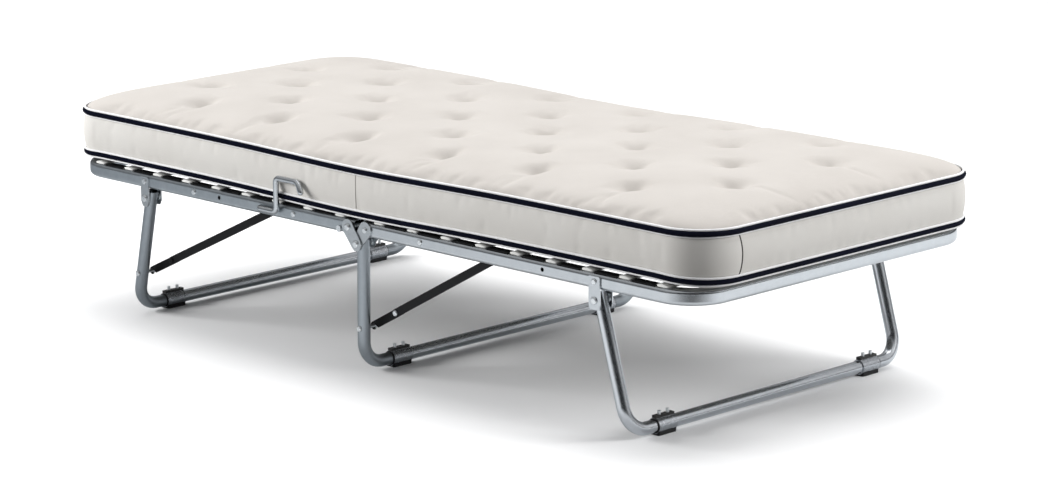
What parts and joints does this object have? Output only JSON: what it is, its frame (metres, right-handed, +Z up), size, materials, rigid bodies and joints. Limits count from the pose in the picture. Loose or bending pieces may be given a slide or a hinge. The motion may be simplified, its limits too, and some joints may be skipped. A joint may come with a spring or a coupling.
{
  "type": "folding cot",
  "caption": "Single folding cot: two hinged tube frames with slats, folding U-legs held by hook-on stays, and a tufted mattress with dark piping that bends at the fold.",
  "frame": {"origin": "on the floor, below the middle of the bed", "axes": "+X along the bed to the foot end, +Y to the far side, +Z up"},
  "size_m": [1.932, 0.9068, 0.4798],
  "materials": {
    "zinc_steel": "satin zinc",
    "bright_steel": "bright plated",
    "black_steel": "satin black",
    "black_rubber": "matt",
    "white_slat": "white lacquered",
    "ticking": "woven ticking"
  },
  "bodies": {
    "foot_half": {"foot_rail": "zinc_steel", "foot_rail_rivets": "zinc_steel", "foot_slats": "white_slat", "fold_plates": "zinc_steel", "foot_plates": "zinc_steel", "fold_pins": "zinc_steel", "fold_washers": "zinc_steel", "foot_plate_rivets": "zinc_steel", "foot_leg_bracket_near": "zinc_steel", "foot_leg_bracket_far": "zinc_steel", "foot_leg_bracket_rivets": "zinc_steel", "foot_leg_pivot_pins": "zinc_steel", "foot_leg_pivot_washers": "zinc_steel", "mid_leg_pivot_pins": "zinc_steel", "mid_leg_pivot_washers": "zinc_steel", "mid_stay_rail_studs": "zinc_steel", "mattress_foot": "ticking", "mattress_fold": "ticking"},
    "head_half": {"head_rail": "zinc_steel", "head_rail_rivets": "zinc_steel", "head_slats": "white_slat", "fold_stop_studs": "zinc_steel", "head_leg_bracket_near": "zinc_steel", "head_leg_bracket_far": "zinc_steel", "head_leg_bracket_rivets": "zinc_steel", "head_leg_pivot_pins": "zinc_steel", "head_leg_pivot_washers": "zinc_steel", "head_stay_rail_studs": "zinc_steel", "mattress_head": "ticking"},
    "head_leg": {"head_leg_near_tube": "bright_steel", "head_leg_far_tube": "bright_steel", "head_leg_floor_tube": "bright_steel", "head_leg_clamps": "black_steel", "head_leg_clamp_bolts": "black_steel", "head_leg_foot_pads": "black_rubber", "head_leg_stay_studs": "zinc_steel"},
    "mid_leg": {"mid_leg_near_tube": "bright_steel", "mid_leg_far_tube": "bright_steel", "mid_leg_floor_tube": "bright_steel", "mid_leg_clamps": "black_steel", "mid_leg_clamp_bolts": "black_steel", "mid_leg_foot_pads": "black_rubber", "mid_leg_stay_studs": "zinc_steel"},
    "foot_leg": {"foot_leg_near_tube": "bright_steel", "foot_leg_far_tube": "bright_steel", "foot_leg_floor_tube": "bright_steel", "foot_leg_clamps": "black_steel", "foot_leg_clamp_bolts": "black_steel", "foot_leg_foot_pads": "black_rubber"},
    "head_stays": {"head_stay_bars": "black_steel", "head_stay_hook_straps": "black_steel", "head_stay_rivets": "black_steel"},
    "mid_stays": {"mid_stay_bars": "black_steel", "mid_stay_hook_straps": "black_steel", "mid_stay_rivets": "black_steel"},
    "hook_near": {"rod_hook_near": "zinc_steel", "hook_collar_near": "zinc_steel"},
    "hook_far": {"rod_hook_far": "zinc_steel", "hook_collar_far": "zinc_steel"}
  },
  "joints": [
    {"name": "head_fold", "type": "hinge", "parent": "foot_half", "child": "head_half", "pos_m": [-0.023, 0, 0.3135], "axis": [0, 1, 0], "range_deg": [0, 100], "deforming": ["mattress_fold"]},
    {"name": "head_leg_fold", "type": "hinge", "parent": "head_half", "child": "head_leg", "pos_m": [-0.694, 0, 0.2755], "axis": [0, -1, 0], "range_deg": [0, 100]},
    {"name": "mid_leg_fold", "type": "hinge", "parent": "foot_half", "child": "mid_leg", "pos_m": [0.002, 0, 0.281], "axis": [0, -1, 0], "range_deg": [0, 90]},
    {"name": "foot_leg_fold", "type": "hinge", "parent": "foot_half", "child": "foot_leg", "pos_m": [0.687, 0, 0.2755], "axis": [0, 1, 0], "range_deg": [0, 103]},
    {"name": "head_stay_lift", "type": "hinge", "parent": "head_half", "child": "head_stays", "pos_m": [-0.276, 0, 0.3135], "axis": [0, 1, 0], "range_deg": [0, 25]},
    {"name": "mid_stay_lift", "type": "hinge", "parent": "foot_half", "child": "mid_stays", "pos_m": [0.393, 0, 0.3135], "axis": [0, 1, 0], "range_deg": [0, 28]},
    {"name": "hook_near_swing", "type": "hinge", "parent": "head_half", "child": "hook_near", "pos_m": [-0.302, 0, 0.3135], "axis": [0, 1, 0], "range_deg": [0, 90]},
    {"name": "hook_far_swing", "type": "hinge", "parent": "head_half", "child": "hook_far", "pos_m": [-0.302, 0, 0.3135], "axis": [0, 1, 0], "range_deg": [0, 90]}
  ],
  "couplings": [
    {"joint": "head_stay_lift", "follows": "head_leg_fold", "ratio": 0.25},
    {"joint": "mid_stay_lift", "follows": "mid_leg_fold", "ratio": 0.311}
  ]
}
